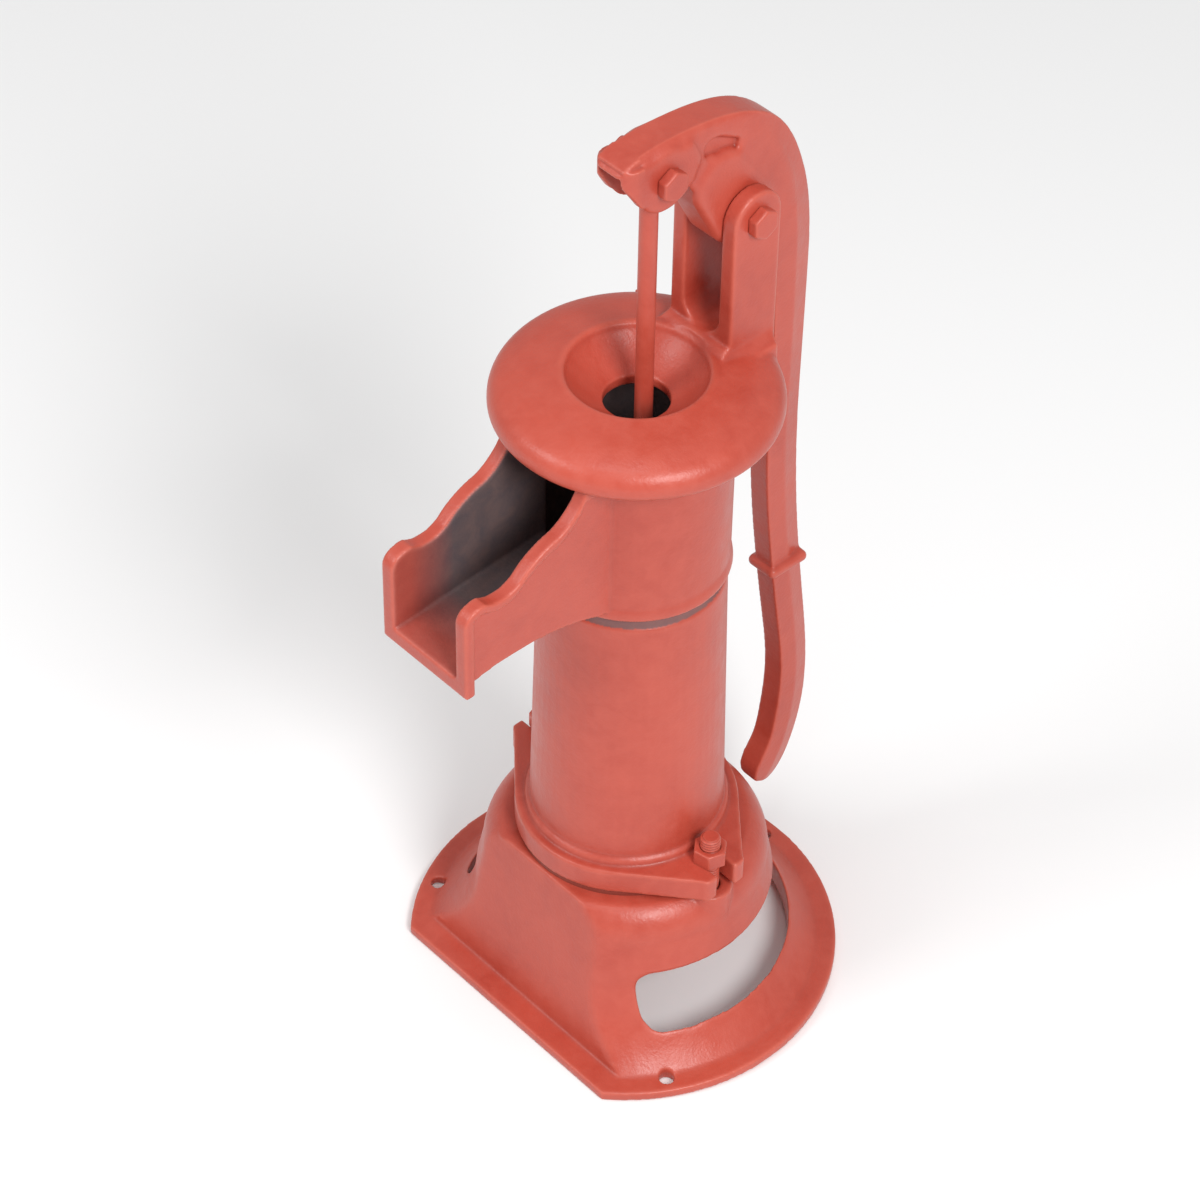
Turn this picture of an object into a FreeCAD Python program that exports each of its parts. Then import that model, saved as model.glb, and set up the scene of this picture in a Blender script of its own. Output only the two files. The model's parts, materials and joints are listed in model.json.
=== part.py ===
import FreeCAD, Part
import Sketcher
import math
import os

# Hand well pump: a cast-iron pitcher pump.  +Z is up.  The origin is on the pump's axis, in the
# plane that the base stands on.  The spout points to -Y, the lever hangs on the +Y side, and the
# two flange bolts are at +X and -X.  The lever is modelled hanging down, with the plunger raised.

doc = FreeCAD.newDocument("pitcher_pump")

# ---------------------------------------------------------------- driving dimensions, in mm
SIZES = [
    # base casting
    ("plate_r", 101.5, "outer radius of the foot plate"),
    ("plate_flat", 75.5, "distance from the axis to the straight front edge"),
    ("plate_z", 5.0, "thickness of the foot plate"),
    ("foot_r", 92.0, "radius where the flared bell meets the foot plate"),
    ("waist_r", 70.0, "bell radius above the side slots"),
    ("waist_z", 49.0, "height of the top of the side slots"),
    ("shoulder_r", 66.5, "bell radius where its shoulder starts"),
    ("shoulder_z", 67.0, "height where the shoulder starts"),
    ("deck_r", 57.0, "radius of the flat deck"),
    ("deck_z", 83.8, "height of the deck"),
    ("shell", 5.5, "wall thickness of the base"),
    ("facet_low", 64.0, "distance of the sloping front from the axis, at the floor"),
    ("facet_high", 52.0, "distance of the sloping front from the axis, at the deck"),
    ("lug_r", 11.0, "radius of the bolt bosses in the shoulder of the bell"),
    ("boss_r", 27.0, "outer radius of the suction boss"),
    ("boss_z", 12.0, "height of the lower end of the suction boss"),
    ("thread_r", 19.4, "minor radius of the 1 1/4 in pipe thread"),
    ("thread_top", 42.0, "height of the end of the pipe thread"),
    ("port_r", 16.0, "radius of the water way in the base"),
    ("anchor_circle", 93.3, "radius of the circle of anchor holes"),
    ("anchor_r", 3.5, "radius of an anchor hole"),
    # barrel casting
    ("gasket_z", 3.0, "thickness of the leather between base and barrel"),
    ("flange_r", 51.6, "radius of the barrel flange"),
    ("flange_top", 99.6, "height of the top of the barrel flange"),
    ("ear_x", 67.0, "reach of the ears of the barrel flange"),
    ("flange_bolt_x", 55.8, "distance of a flange bolt from the axis"),
    ("flange_slot", 5.2, "half width of the open bolt slots"),
    ("bore_r", 38.1, "radius of the 3 in bore"),
    ("barrel_low_r", 44.5, "outer radius at the foot of the barrel"),
    ("barrel_high_r", 41.7, "outer radius below the bead"),
    ("bead_z", 249.8, "height of the bead round the barrel"),
    ("bead_r", 43.6, "outer radius of the bead"),
    ("neck_r", 42.5, "outer radius above the bead"),
    ("collar_r", 50.0, "radius of the collar that carries the top"),
    ("collar_low", 332.0, "height of the underside of the collar"),
    ("collar_top", 340.0, "height of the top of the collar"),
    # spout
    ("mouth_y", 118.0, "distance of the spout's mouth from the axis"),
    ("mouth_low", 259.5, "height of the underside of the spout at its mouth"),
    ("spout_half", 24.0, "half the outer width of the spout"),
    ("spout_inner", 19.6, "half the inner width of the spout"),
    # revolving top
    ("cap_r", 62.8, "outer radius of the top"),
    ("cap_low", 333.4, "height of the underside of the top's rim"),
    ("cap_crest", 348.6, "height of the top of the rounded rim"),
    ("roll_r", 9.6, "radius of the rounded rim"),
    ("lip_r", 31.0, "radius of the funnel's lip"),
    ("lip_z", 353.2, "height of the funnel's lip"),
    ("funnel_z", 337.5, "height where the funnel meets the hole for the rod"),
    ("funnel_r", 14.4, "radius of the hole for the rod"),
    ("fork_gap", 10.6, "half the gap between the two ears of the fork"),
    ("fork_half", 18.5, "half the width of the fork"),
    ("ear_r", 13.2, "radius of the top of an ear"),
    ("fork_flare", 6.0, "radius of the hollow curve at the foot of the fork"),
    ("fulcrum_y", 48.5, "distance of the fulcrum from the axis"),
    ("fulcrum_z", 417.0, "height of the fulcrum"),
    ("pin_r", 4.0, "radius of the fulcrum bolt and of the rod bolt"),
    ("pin_play", 0.05, "radial play of a bolt in its hole"),
    # lever
    ("crank", 58.0, "distance from the fulcrum to the rod bolt"),
    ("crank_rest", 40.0, "angle of the crank above the horizontal at rest, in degrees"),
    ("hub_r", 16.5, "radius of the lever's hub"),
    ("hub_half", 10.3, "half the width of the lever's hub"),
    ("head_half", 8.3, "half the thickness of the lever's head"),
    ("cheek_r", 15.0, "radius of the cheeks round the rod bolt"),
    ("cheek_half", 11.0, "half the width over the cheeks"),
    ("rod_slot", 6.6, "half the gap between the cheeks"),
    # rod and plunger
    ("rod_r", 4.0, "radius of the plunger rod"),
    ("eye_half", 6.2, "half the thickness of the rod's eye"),
    ("eye_r", 9.5, "outer radius of the rod's eye"),
    ("sway", 13.6, "sideways travel of the rod over the lever's range"),
    ("plunger_z", 196.0, "height of the underside of the plunger at rest"),
    ("crown_low", 40.0, "height of the crown's underside above the plunger's underside"),
    ("crown_thick", 6.0, "thickness of the plunger's crown"),
    ("crown_play", 1.7, "play of the rod's nuts above and below the crown"),
    ("cup_r", 38.05, "outer radius of the cup leather"),
]

sheet = doc.addObject("Spreadsheet::Sheet", "sizes")
for row, (alias, amount, note) in enumerate(SIZES, start=1):
    sheet.set("A%d" % row, alias)
    sheet.set("B%d" % row, str(amount))
    sheet.set("C%d" % row, note)
    sheet.setAlias("B%d" % row, alias)
doc.recompute()


class Size:
    """A length that knows its value and the expression that gives it from the sheet."""

    def __init__(self, text, value):
        self.text = text
        self.value = value

    def join(self, other, sign, value):
        return Size("(%s %s %s)" % (self.text, sign, other.text), value)

    def __add__(self, other):
        other = size(other)
        return self.join(other, "+", self.value + other.value)

    def __sub__(self, other):
        other = size(other)
        return self.join(other, "-", self.value - other.value)

    def __mul__(self, other):
        other = size(other)
        return self.join(other, "*", self.value * other.value)

    def __truediv__(self, other):
        other = size(other)
        return self.join(other, "/", self.value / other.value)

    def __neg__(self):
        return Size("(0 - %s)" % self.text, -self.value)


def size(number):
    """A Size from a Size or from a plain number."""
    if isinstance(number, Size):
        return number
    return Size(repr(float(number)), float(number))


D = {alias: Size("sizes.%s" % alias, float(sheet.get(alias))) for alias, _, _ in SIZES}


def amount(alias):
    """The plain value of one driving dimension."""
    return D[alias].value


def bind(obj, prop, number):
    """Set a property from a Size and keep it bound to the sheet."""
    number = size(number)
    obj.setExpression(prop, number.text)


def place(obj, x=0, y=0, z=0, axis=None, angle=0):
    """Place an object, with its position bound to the sheet."""
    base = FreeCAD.Vector(size(x).value, size(y).value, size(z).value)
    turn = FreeCAD.Rotation(axis or FreeCAD.Vector(0, 0, 1), angle)
    obj.Placement = FreeCAD.Placement(base, turn)
    for letter, number in (("x", x), ("y", y), ("z", z)):
        bind(obj, "Placement.Base.%s" % letter, number)
    return obj


# ---------------------------------------------------------------- sketches
PLANES = {
    "XY": FreeCAD.Rotation(0, 0, 0),
    "XZ": FreeCAD.Rotation(FreeCAD.Vector(1, 0, 0), 90),
    "YZ": FreeCAD.Rotation(FreeCAD.Vector(1, 1, 1), 120),
}


def arc_between(start, end, radius):
    """The circle centre and angles of an arc; a positive radius turns to the left."""
    (x0, y0), (x1, y1) = start, end
    dx, dy = x1 - x0, y1 - y0
    chord = math.hypot(dx, dy)
    rise = math.sqrt(radius * radius - chord * chord / 4)
    side = 1 if radius > 0 else -1
    cx = (x0 + x1) / 2 - side * dy / chord * rise
    cy = (y0 + y1) / 2 + side * dx / chord * rise
    first = math.atan2(y0 - cy, x0 - cx)
    last = math.atan2(y1 - cy, x1 - cx)
    if side < 0:
        first, last = last, first
    if last < first:
        last += 2 * math.pi
    return FreeCAD.Vector(cx, cy, 0), first, last


def draw_outline(sketch, points):
    """Draw a closed outline through (x, y) or (x, y, radius of the arc that leads there)."""
    corners = [(size(p[0]), size(p[1])) for p in points]
    ends = []
    for i, point in enumerate(points):
        start = tuple(c.value for c in corners[i - 1])
        end = tuple(c.value for c in corners[i])
        if len(point) == 3:
            radius = size(point[2])
            centre, first, last = arc_between(start, end, radius.value)
            circle = Part.Circle(centre, FreeCAD.Vector(0, 0, 1), abs(radius.value))
            geo = sketch.addGeometry(Part.ArcOfCircle(circle, first, last), False)
            ends.append((geo, 2, 1) if radius.value > 0 else (geo, 1, 2))
            row = sketch.addConstraint(Sketcher.Constraint("Radius", geo, abs(radius.value)))
            text = radius.text if radius.value > 0 else "0 - %s" % radius.text
            sketch.setExpression("Constraints[%d]" % row, text)
        else:
            line = Part.LineSegment(FreeCAD.Vector(*start, 0), FreeCAD.Vector(*end, 0))
            geo = sketch.addGeometry(line, False)
            ends.append((geo, 2, 1))
    for i, (geo, end_point, _) in enumerate(ends):
        next_geo, _, next_start = ends[(i + 1) % len(ends)]
        sketch.addConstraint(Sketcher.Constraint("Coincident", geo, end_point, next_geo, next_start))
        for kind, number in (("DistanceX", corners[i][0]), ("DistanceY", corners[i][1])):
            row = sketch.addConstraint(Sketcher.Constraint(kind, -1, 1, geo, end_point, number.value))
            sketch.setExpression("Constraints[%d]" % row, number.text)


def free_sketch(name, plane, points):
    """A closed outline on one of the origin planes, for a Part revolution or extrusion."""
    sketch = doc.addObject("Sketcher::SketchObject", name)
    sketch.Placement = FreeCAD.Placement(FreeCAD.Vector(0, 0, 0), PLANES[plane])
    draw_outline(sketch, points)
    return sketch


def body_sketch(body, name, plane, points=None, circle=None):
    """A sketch on one of a body's own origin planes."""
    sketch = body.newObject("Sketcher::SketchObject", name)
    role = plane + "_Plane"
    support = [f for f in body.Origin.OriginFeatures if f.Role == role][0]
    sketch.AttachmentSupport = [(support, "")]
    sketch.MapMode = "FlatFace"
    if points:
        draw_outline(sketch, points)
    if circle:
        radius = size(circle)
        ring = Part.Circle(FreeCAD.Vector(0, 0, 0), FreeCAD.Vector(0, 0, 1), radius.value)
        geo = sketch.addGeometry(ring, False)
        sketch.addConstraint(Sketcher.Constraint("Coincident", geo, 3, -1, 1))
        row = sketch.addConstraint(Sketcher.Constraint("Radius", geo, radius.value))
        sketch.setExpression("Constraints[%d]" % row, radius.text)
    return sketch


# ---------------------------------------------------------------- Part helpers
def revolve(name, points, angle=360.0):
    """A solid of revolution about the pump's axis, from (radius, height) points."""
    turned = doc.addObject("Part::Revolution", name)
    turned.Source = free_sketch(name + "_outline", "XZ", points)
    turned.Axis = (0, 0, 1)
    turned.Base = (0, 0, 0)
    turned.Angle = angle
    turned.Solid = True
    return turned


def extrude(name, plane, points, half, direction):
    """An outline extruded to both sides of its plane."""
    slab = doc.addObject("Part::Extrusion", name)
    slab.Base = free_sketch(name + "_outline", plane, points)
    slab.DirMode = "Custom"
    slab.Dir = direction
    slab.Symmetric = True
    slab.Solid = True
    bind(slab, "LengthFwd", size(half) * 2)
    return slab


def box(name, low, high):
    """A box between two corners given as Sizes or numbers."""
    block = doc.addObject("Part::Box", name)
    spans = [size(b) - a for a, b in zip(low, high)]
    for prop, span in zip(("Length", "Width", "Height"), spans):
        bind(block, prop, span)
    return place(block, *low)


def cylinder(name, radius, height, at=(0, 0, 0), axis="Z"):
    """A cylinder that starts at a point and runs along +X, +Y or +Z."""
    round_bar = doc.addObject("Part::Cylinder", name)
    bind(round_bar, "Radius", radius)
    bind(round_bar, "Height", height)
    turn = {"X": (FreeCAD.Vector(0, 1, 0), 90), "Y": (FreeCAD.Vector(1, 0, 0), -90)}
    return place(round_bar, *at, *turn.get(axis, (None, 0)))


def fuse(name, *shapes):
    joined = doc.addObject("Part::MultiFuse", name)
    joined.Shapes = list(shapes)
    joined.Refine = True
    return joined


def cut(name, body, *tools):
    """Cut tools from a solid, after joining the tools."""
    result = doc.addObject("Part::Cut", name)
    result.Base = body
    result.Tool = tools[0] if len(tools) == 1 else fuse(name + "_tools", *tools)
    result.Refine = True
    return result


def common(name, *shapes):
    result = doc.addObject("Part::MultiCommon", name)
    result.Shapes = list(shapes)
    result.Refine = True
    return result


def copies(name, shape, spots):
    """Identical solids in one node: copies of a shape, each moved to (x, y, z) and turned about Z."""
    group = []
    for i, (x, y, z, angle) in enumerate(spots):
        twin = doc.addObject("Part::Feature", "%s_%d" % (name, i))
        twin.Shape = shape.copy()
        turn = FreeCAD.Rotation(FreeCAD.Vector(0, 0, 1), angle)
        twin.Placement = FreeCAD.Placement(FreeCAD.Vector(x, y, z), turn).multiply(shape.Placement)
        group.append(twin)
    node = doc.addObject("Part::Compound", name)
    node.Links = group
    return node


# ---------------------------------------------------------------- base casting
def facet_halfspace(name, inset):
    """Everything behind the sloping front, moved back by inset."""
    low = -D["facet_low"] + inset
    high = -D["facet_high"] + inset
    reach = D["plate_r"] + 10
    points = [(low, 0), (high, D["deck_z"]), (reach, D["deck_z"]), (reach, 0)]
    return extrude(name, "YZ", points, reach, (1, 0, 0))


def make_bell():
    """The flared shell with its flat sloping front, hollow from below."""
    outer = revolve("bell_outer", [
        (0, 0),
        (D["foot_r"], 0),
        (D["foot_r"], D["plate_z"]),
        (D["waist_r"], D["waist_z"], -58),
        (D["shoulder_r"], D["shoulder_z"]),
        (D["deck_r"], D["deck_z"], 19),
        (0, D["deck_z"]),
    ])
    cavity_top = D["deck_z"] - D["shell"] - 1
    inner = revolve("bell_inner", [
        (0, 0),
        (D["foot_r"] - 8, 0),
        (D["waist_r"] - D["shell"], D["waist_z"], -68),
        (D["shoulder_r"] - D["shell"], D["shoulder_z"] - 3),
        (D["deck_r"] - 6, cavity_top, 17),
        (0, cavity_top),
    ])
    shell = common("bell_solid", outer, facet_halfspace("front_outer", 0))
    hollow = common("bell_hollow", inner, facet_halfspace("front_inner", D["shell"]))
    return cut("bell", shell, hollow)


def make_plate():
    """The foot plate: a ring with a straight front edge."""
    ring = revolve("plate_ring", [
        (D["foot_r"] - 8, 0),
        (D["plate_r"], 0),
        (D["plate_r"], D["plate_z"]),
        (D["foot_r"] - 8, D["plate_z"]),
    ])
    reach = D["plate_r"] + 10
    front = box("plate_front", (-reach, -D["facet_low"] - 40, 0), (reach, -D["facet_low"] + 6, D["plate_z"]))
    disc = cylinder("plate_disc", D["plate_r"], D["plate_z"])
    apron = common("plate_apron", front, disc)
    keep = box("plate_keep", (-reach, -D["plate_flat"], -1), (reach, reach, D["plate_z"] + 1))
    return common("plate", fuse("plate_whole", ring, apron), keep)


def make_suction_boss():
    """The boss that takes the suction pipe, with its water way."""
    return revolve("suction_boss", [
        (D["port_r"], D["thread_top"]),
        (D["thread_r"], D["thread_top"]),
        (D["thread_r"], D["boss_z"]),
        (D["boss_r"], D["boss_z"]),
        (D["boss_r"], D["deck_z"] - 3),
        (D["port_r"], D["deck_z"] - 3),
    ])


def polar(radius, angle):
    """A point at a radius, with its position bound to the sheet."""
    turn = math.radians(angle)
    return size(radius) * math.cos(turn), size(radius) * math.sin(turn)


def side_slot(name, front_angle, rear_angle, side):
    """One kidney slot through the side of the bell, cut upwards from below, with round corners."""
    sill_r = D["foot_r"] - 14
    front_round, rear_round = 12.0, 8.0
    front_turn = math.degrees(math.asin(front_round / (sill_r.value - front_round)))
    rear_turn = math.degrees(math.asin(rear_round / (sill_r.value - rear_round)))
    front_reach = (sill_r.value - front_round) * math.cos(math.radians(front_turn))
    rear_reach = (sill_r.value - rear_round) * math.cos(math.radians(rear_turn))
    plan = [
        polar(50, front_angle),
        polar(front_reach, front_angle),
        (*polar(sill_r, front_angle + front_turn), front_round),
        (*polar(sill_r, rear_angle - rear_turn), sill_r),
        (*polar(rear_reach, rear_angle), rear_round),
        polar(50, rear_angle),
    ]
    prism = doc.addObject("Part::Extrusion", name + "_prism")
    prism.Base = free_sketch(name + "_plan", "XY", plan)
    prism.DirMode = "Custom"
    prism.Dir = (0, 0, 1)
    prism.Solid = True
    bind(prism, "LengthFwd", D["waist_z"])
    top_round = 8.0
    inset = math.degrees(math.asin(top_round / 70.0))
    low = revolve(name + "_low", [(30, -1), (110, -1), (110, D["waist_z"] - top_round),
                                  (30, D["waist_z"] - top_round)])
    high = revolve(name + "_high", [(30, 0), (110, 0), (110, D["waist_z"]), (30, D["waist_z"])],
                   rear_angle - front_angle - 2 * inset)
    turn = FreeCAD.Rotation(FreeCAD.Vector(0, 0, 1), front_angle + inset)
    high.Placement = FreeCAD.Placement(FreeCAD.Vector(0, 0, 0), turn)
    ends = []
    for i, angle in enumerate((front_angle + inset, rear_angle - inset)):
        end = doc.addObject("Part::Cylinder", "%s_end_%d" % (name, i))
        end.Radius = top_round
        end.Height = 80
        turn = FreeCAD.Rotation(FreeCAD.Vector(0, 0, 1), angle)
        end.Placement = FreeCAD.Placement(
            turn.multVec(FreeCAD.Vector(30, 0, 0)),
            turn.multiply(FreeCAD.Rotation(FreeCAD.Vector(0, 1, 0), 90)))
        bind(end, "Placement.Base.z", D["waist_z"] - top_round)
        ends.append(end)
    slot = common(name, prism, fuse(name + "_limit", low, high, *ends))
    if side > 0:
        return slot
    twin = doc.addObject("Part::Mirroring", name + "_mirrored")
    twin.Source = slot
    twin.Normal = (1, 0, 0)
    return twin


def make_base():
    bosses = []
    holes = []
    for i, side in enumerate((1, -1)):
        bolt_x = D["flange_bolt_x"] * side
        bosses.append(cylinder("bolt_boss_%d" % i, D["lug_r"], D["deck_z"] - 60, (bolt_x, 0, 60)))
        holes.append(cylinder("bolt_hole_%d" % i, D["flange_slot"], 30, (bolt_x, 0, 60)))
        holes.append(cylinder("bolt_head_room_%d" % i, 9.0, 14, (bolt_x, 0, 57)))
    solid = fuse("base_solid", make_bell(), make_plate(), make_suction_boss(), *bosses)
    port = cylinder("base_port", D["port_r"], 60, (0, 0, 40))
    anchors = []
    for i, angle in enumerate((-150, -30, 90)):
        x = D["anchor_circle"] * math.cos(math.radians(angle))
        y = D["anchor_circle"] * math.sin(math.radians(angle))
        anchors.append(cylinder("anchor_hole_%d" % i, D["anchor_r"], 30, (x, y, -1)))
    kidneys = [side_slot("slot_right", -38.5, 82.0, 1), side_slot("slot_left", -38.5, 82.0, -1)]
    base = cut("base_casting", solid, port, *holes, *anchors, *kidneys)
    base.Label = "base"
    return base


# ---------------------------------------------------------------- barrel casting
def make_barrel_outer():
    """The outside of the barrel with its flange, foot bead, neck bead and collar."""
    foot = D["flange_top"]
    return revolve("barrel_outer", [
        (0, D["deck_z"] + D["gasket_z"]),
        (D["flange_r"], D["deck_z"] + D["gasket_z"]),
        (D["flange_r"], foot - 1.5),
        (D["flange_r"] - 1.5, foot, 1.5),
        (D["barrel_low_r"] + 2.4, foot),
        (D["barrel_low_r"] + 2.4, foot + 1.4),
        (D["barrel_low_r"] + 0.2, foot + 3.6, 2.2),
        (D["barrel_high_r"], D["bead_z"] - 8),
        (D["barrel_high_r"] - 1.6, D["bead_z"] - 6.6),
        (D["barrel_high_r"] - 1.6, D["bead_z"] - 1.2),
        (D["bead_r"] - 1.2, D["bead_z"] - 1.2),
        (D["bead_r"], D["bead_z"], 1.2),
        (D["neck_r"], D["bead_z"] + 5, 12),
        (D["neck_r"], D["collar_low"]),
        (D["collar_r"], D["collar_low"]),
        (D["collar_r"], D["collar_top"]),
        (0, D["collar_top"]),
    ])


def make_ears():
    """The two tapering ears of the flange."""
    tip = D["ear_x"]
    plates = []
    for i, side in enumerate((1, -1)):
        points = [
            (33.0 * side, -39.5 * side),
            ((tip - 3) * side, -12.8 * side),
            (tip * side, -9.4 * side, 4),
            (tip * side, 9.4 * side),
            ((tip - 3) * side, 12.8 * side, 4),
            (33.0 * side, 39.5 * side),
        ]
        plate = doc.addObject("Part::Extrusion", "ear_%d" % i)
        plate.Base = free_sketch("ear_outline_%d" % i, "XY", points)
        plate.DirMode = "Custom"
        plate.Dir = (0, 0, 1)
        plate.Solid = True
        bind(plate, "LengthFwd", D["flange_top"] - D["deck_z"] - D["gasket_z"])
        place(plate, 0, 0, D["deck_z"] + D["gasket_z"])
        plates.append(plate)
    return plates


def spout_side(name, drop, half):
    """The spout's side outline, extruded; drop lowers its wavy top edge."""
    mouth = -D["mouth_y"]
    low = D["mouth_low"]
    points = [
        (-30, low - 6),
        (-40, low - 6),
        (-80, low + 3.5, 110),
        (mouth, low, 110),
        (mouth, low + 36 - drop),
        (mouth + 7, low + 44 - drop, -8),
        (mouth + 11, low + 44.5 - drop, -12),
        (mouth + 30, low + 45 - drop, 16),
        (mouth + 51, low + 57 - drop, -40),
        (mouth + 66, low + 72.5 - drop, 30),
        (-30, low + 72.5 - drop),
    ]
    return extrude(name, "YZ", points, half, (1, 0, 0))


def make_spout():
    """The solid outline of the spout: walls, rolled top edges and the lip round its mouth."""
    walls = spout_side("spout_walls", 0, D["spout_half"])
    wide = spout_side("spout_wide", 0, D["spout_half"] + 2.8)
    below = spout_side("spout_below", 4.5, D["spout_half"] + 4)
    edges = cut("spout_edges", wide, below)
    mouth = -D["mouth_y"]
    reach = D["spout_half"] + 2.8
    lip_limit = box("lip_limit", (-30, mouth, D["mouth_low"]), (30, mouth + 5, D["mouth_low"] + 50))
    lip = common("spout_lip", spout_side("lip_profile", 0, reach), lip_limit)
    chin = box("spout_chin", (-reach, mouth, D["mouth_low"] - 3.6), (reach, mouth + 5, D["mouth_low"] + 20))
    return fuse("spout_solid", walls, edges, lip, chin)


def make_spout_channel():
    """The open water channel of the spout, through the barrel's wall."""
    low = D["mouth_low"]
    floor = [
        (-D["mouth_y"] - 2, low + 4.6),
        (-36, low + 9.5),
        (-20, low + 9.5),
        (-20, D["collar_low"]),
        (-D["mouth_y"] - 2, D["collar_low"] + 10),
    ]
    return extrude("spout_channel", "YZ", floor, D["spout_inner"], (1, 0, 0))


def make_cylinder():
    solid = fuse("barrel_solid", make_barrel_outer(), *make_ears(), make_spout())
    bore = cylinder("barrel_bore", D["bore_r"], 300, (0, 0, 80))
    cuts = [bore, make_spout_channel()]
    for i, side in enumerate((1, -1)):
        bolt_x = D["flange_bolt_x"] * side
        edge = 72 * side
        low_x, high_x = (bolt_x, edge) if side > 0 else (edge, bolt_x)
        cuts.append(cylinder("ear_slot_end_%d" % i, D["flange_slot"], 40, (bolt_x, 0, 70)))
        cuts.append(box("ear_slot_%d" % i, (low_x, -D["flange_slot"], 70),
                        (high_x, D["flange_slot"], 110)))
    barrel = cut("barrel_casting", solid, *cuts)
    barrel.Label = "cylinder"
    return barrel


# ---------------------------------------------------------------- revolving top
def make_fork():
    """The fork's solid outline: a block with hollow curves at its foot and a round top."""
    crest = D["cap_crest"]
    half, flare = D["fork_half"], D["fork_flare"]
    front = D["fulcrum_y"] - D["ear_r"]
    back = D["fulcrum_y"] + D["ear_r"]
    foot = D["collar_top"] + 0.6
    across = extrude("fork_across", "XZ", [
        (-half - flare, foot),
        (half + flare, foot),
        (half + flare, crest + 1.5),
        (half, crest + flare + 1.5, -flare),
        (-half, crest + flare + 1.5),
        (-half - flare, crest + 1.5, -flare),
    ], 80, (0, 1, 0))
    along = extrude("fork_along", "YZ", [
        (front - flare, foot),
        (back, foot),
        (back, crest + flare + 1.5),
        (front, crest + flare + 1.5),
        (front - flare, crest + 1.5, flare),
    ], 40, (1, 0, 0))
    footing = common("fork_footing", across, along, cylinder("fork_limit", D["cap_r"], 400))
    funnel_room = cylinder("fork_funnel_room", D["lip_r"] + 1.2, 60, (0, 0, D["funnel_z"]))
    pedestal = cut("fork_pedestal", footing, funnel_room)
    block = box("fork_block", (-half, front, foot), (half, back, D["fulcrum_z"]))
    round_top = cylinder("fork_top", D["ear_r"], half * 2, (-half, D["fulcrum_y"], D["fulcrum_z"]), "X")
    return [pedestal, block, round_top]


def make_cap():
    crest = D["cap_crest"]
    dish = revolve("cap_dish", [
        (D["collar_r"] + 0.4, D["cap_low"]),
        (D["cap_r"] - 5, D["cap_low"]),
        (D["cap_r"], D["cap_low"] + 4, 5),
        (D["cap_r"], crest - D["roll_r"]),
        (D["cap_r"] - 5.5, crest - 0.9, D["roll_r"]),
        (47, crest + 2.3, 41),
        (D["lip_r"] + 2.5, D["lip_z"]),
        (D["lip_r"] - 0.9, D["lip_z"] - 2.2, 2.3),
        (D["funnel_r"], D["funnel_z"], -45),
        (D["funnel_r"], D["cap_low"] - 1),
        (D["funnel_r"] + 5, D["cap_low"] - 1),
        (36, D["collar_top"] - 3),
        (36, D["collar_top"]),
        (D["collar_r"] + 0.4, D["collar_top"]),
    ])
    gap_low = crest + 7.4 + D["fork_gap"]
    back = D["fulcrum_y"] + D["ear_r"]
    gap_box = box("fork_gap_box", (-D["fork_gap"], 20, gap_low),
                  (D["fork_gap"], back + 5, D["fulcrum_z"] + 20))
    gap_round = cylinder("fork_gap_round", D["fork_gap"], 60, (0, 20, gap_low), "Y")
    hole = cylinder("fork_hole", D["pin_r"] + D["pin_play"], 60,
                    (-30, D["fulcrum_y"], D["fulcrum_z"]), "X")
    screw_hole = doc.addObject("Part::Cylinder", "cap_screw_hole")
    screw_hole.Radius = 3.2
    screw_hole.Height = 30
    screw_hole.Placement = set_screw_placement(40.0)
    cap = cut("cap_casting", fuse("cap_solid", dish, *make_fork()),
              gap_box, gap_round, hole, screw_hole)
    cap.Label = "cap"
    return cap


SET_SCREW_ANGLE = 135.0


def set_screw_placement(radius):
    """Where the set screw's axis crosses a radius, pointing outwards, at the collar's height."""
    angle = math.radians(SET_SCREW_ANGLE)
    spot = FreeCAD.Vector(radius * math.cos(angle), radius * math.sin(angle),
                          (amount("collar_low") + amount("collar_top")) / 2)
    turn = FreeCAD.Rotation(FreeCAD.Vector(0, 0, 1), SET_SCREW_ANGLE).multiply(
        FreeCAD.Rotation(FreeCAD.Vector(0, 1, 0), 90))
    return FreeCAD.Placement(spot, turn)


# ---------------------------------------------------------------- lever
def crank_point():
    """The rod bolt's place at rest, as (y, z)."""
    angle = math.radians(amount("crank_rest"))
    y = amount("fulcrum_y") - amount("crank") * math.cos(angle)
    z = amount("fulcrum_z") + amount("crank") * math.sin(angle)
    return y, z


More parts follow.
